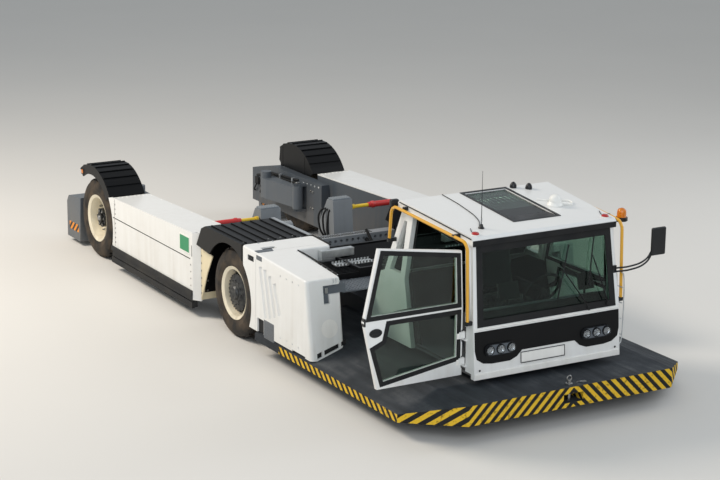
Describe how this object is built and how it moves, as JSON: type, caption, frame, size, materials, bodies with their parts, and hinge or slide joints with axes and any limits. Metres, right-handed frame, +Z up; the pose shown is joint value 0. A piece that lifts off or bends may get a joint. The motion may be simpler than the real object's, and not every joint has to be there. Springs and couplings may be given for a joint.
{
  "type": "aircraft pushback tractor",
  "caption": "Low aircraft pushback tractor without a towbar: side cab, steered front wheels, U-shaped rear bay with a lifting cradle and gate arms.",
  "frame": {"origin": "On the ground under the middle of the whole box; the open right door makes the tractor's own middle plane x = 0.1485 m.", "axes": "+Z up, +Y along the machine from its cab to its open rear bay, so the cab faces -Y; -X is the driver's right, where the door stands open."},
  "size_m": [3.647, 8.86, 2.4074],
  "materials": {
    "frame_paint": "satin",
    "tail_paint": "satin",
    "body_white": "gloss",
    "rail_black": "matte",
    "arch_cream": "satin",
    "fender_dark": "satin",
    "deck_grip": "matte",
    "steel_dark": "satin",
    "engine_grey": "matte",
    "grille_black": "satin",
    "walkway_plate": "satin",
    "window_glass": "gloss",
    "cabin_plastic": "matte",
    "seat_fabric": "matte",
    "lamp_bezel": "satin",
    "rail_yellow": "gloss",
    "mirror_black": "satin",
    "roof_fitting": "gloss",
    "tyre_rubber": "matte",
    "rim_cream": "satin",
    "hub_grey": "satin"
  },
  "bodies": {
    "chassis": {"frame": "frame_paint", "rear_boxes": "tail_paint", "side_panels": "body_white", "rub_rails": "rail_black", "arch_plates": "arch_cream", "rear_fenders": "fender_dark", "front_fenders": "fender_dark", "side_boxes": "body_white", "deck": "deck_grip", "tow_coupling": "steel_dark", "engine": "engine_grey", "top_grille": "grille_black", "walkway": "walkway_plate", "cross_beam": "walkway_plate", "front_axle": "frame_paint", "rear_axles": "hub_grey", "cab_floor": "frame_paint", "cab_front": "body_white", "cab_roof": "body_white", "cab_rear": "body_white", "cab_glass": "window_glass", "dashboard": "cabin_plastic", "seat": "seat_fabric", "headlamps": "lamp_bezel", "handrails": "rail_yellow", "mirrors": "mirror_black", "roof_fittings": "roof_fitting"},
    "door_right": {"door_right": "body_white", "door_right_glass": "window_glass"},
    "door_left": {"door_left": "body_white", "door_left_glass": "window_glass"},
    "knuckle_right": {"knuckle_right": "frame_paint"},
    "knuckle_left": {"knuckle_left": "frame_paint"},
    "wheel_front_right": {"tyre_front_right": "tyre_rubber", "rim_front_right": "rim_cream", "hub_right": "hub_grey"},
    "wheel_front_left": {"tyre_front_left": "tyre_rubber", "rim_front_left": "rim_cream", "hub_left": "hub_grey"},
    "wheel_rear_right": {"tyre_rear_right": "tyre_rubber", "rim_rear_right": "rim_cream"},
    "wheel_rear_left": {"tyre_rear_left": "tyre_rubber", "rim_rear_left": "rim_cream"},
    "cradle": {"cradle": "frame_paint"},
    "gate_right": {"gate_right": "tail_paint"},
    "gate_left": {"gate_left": "tail_paint"}
  },
  "joints": [
    {"name": "steer_right", "type": "hinge", "parent": "chassis", "child": "knuckle_right", "pos_m": [-1.209, -0.37, 0.4975], "axis": [0, 0, 1], "range_deg": [-30, 30]},
    {"name": "steer_left", "type": "hinge", "parent": "chassis", "child": "knuckle_left", "pos_m": [1.506, -0.37, 0.4975], "axis": [0, 0, 1], "range_deg": [-30, 30]},
    {"name": "roll_front_right", "type": "hinge", "parent": "knuckle_right", "child": "wheel_front_right", "pos_m": [-1.259, -0.37, 0.4975], "axis": [1, 0, 0], "continuous": true},
    {"name": "roll_front_left", "type": "hinge", "parent": "knuckle_left", "child": "wheel_front_left", "pos_m": [1.556, -0.37, 0.4975], "axis": [1, 0, 0], "continuous": true},
    {"name": "roll_rear_right", "type": "hinge", "parent": "chassis", "child": "wheel_rear_right", "pos_m": [-1.259, 3.44, 0.4975], "axis": [1, 0, 0], "continuous": true},
    {"name": "roll_rear_left", "type": "hinge", "parent": "chassis", "child": "wheel_rear_left", "pos_m": [1.556, 3.44, 0.4975], "axis": [1, 0, 0], "continuous": true},
    {"name": "door_right_swing", "type": "hinge", "parent": "chassis", "child": "door_right", "pos_m": [-0.7235, -3.82, 0.73], "axis": [0, 0, -1], "range_deg": [0, 90]},
    {"name": "door_left_swing", "type": "hinge", "parent": "chassis", "child": "door_left", "pos_m": [1.0205, -3.82, 0.73], "axis": [0, 0, -1], "range_deg": [0, 90]},
    {"name": "cradle_lift", "type": "hinge", "parent": "chassis", "child": "cradle", "pos_m": [0.1485, 0.8415, 0.42], "axis": [1, 0, 0], "range_deg": [0, 10]},
    {"name": "gate_right_swing", "type": "hinge", "parent": "chassis", "child": "gate_right", "pos_m": [-0.8365, 2.9335, 0.59], "axis": [0, 0, -1], "range_deg": [0, 90]},
    {"name": "gate_left_swing", "type": "hinge", "parent": "chassis", "child": "gate_left", "pos_m": [1.1335, 2.9335, 0.59], "axis": [0, 0, 1], "range_deg": [0, 90]}
  ],
  "couplings": [
    {"joint": "steer_left", "follows": "steer_right", "ratio": 1}
  ]
}
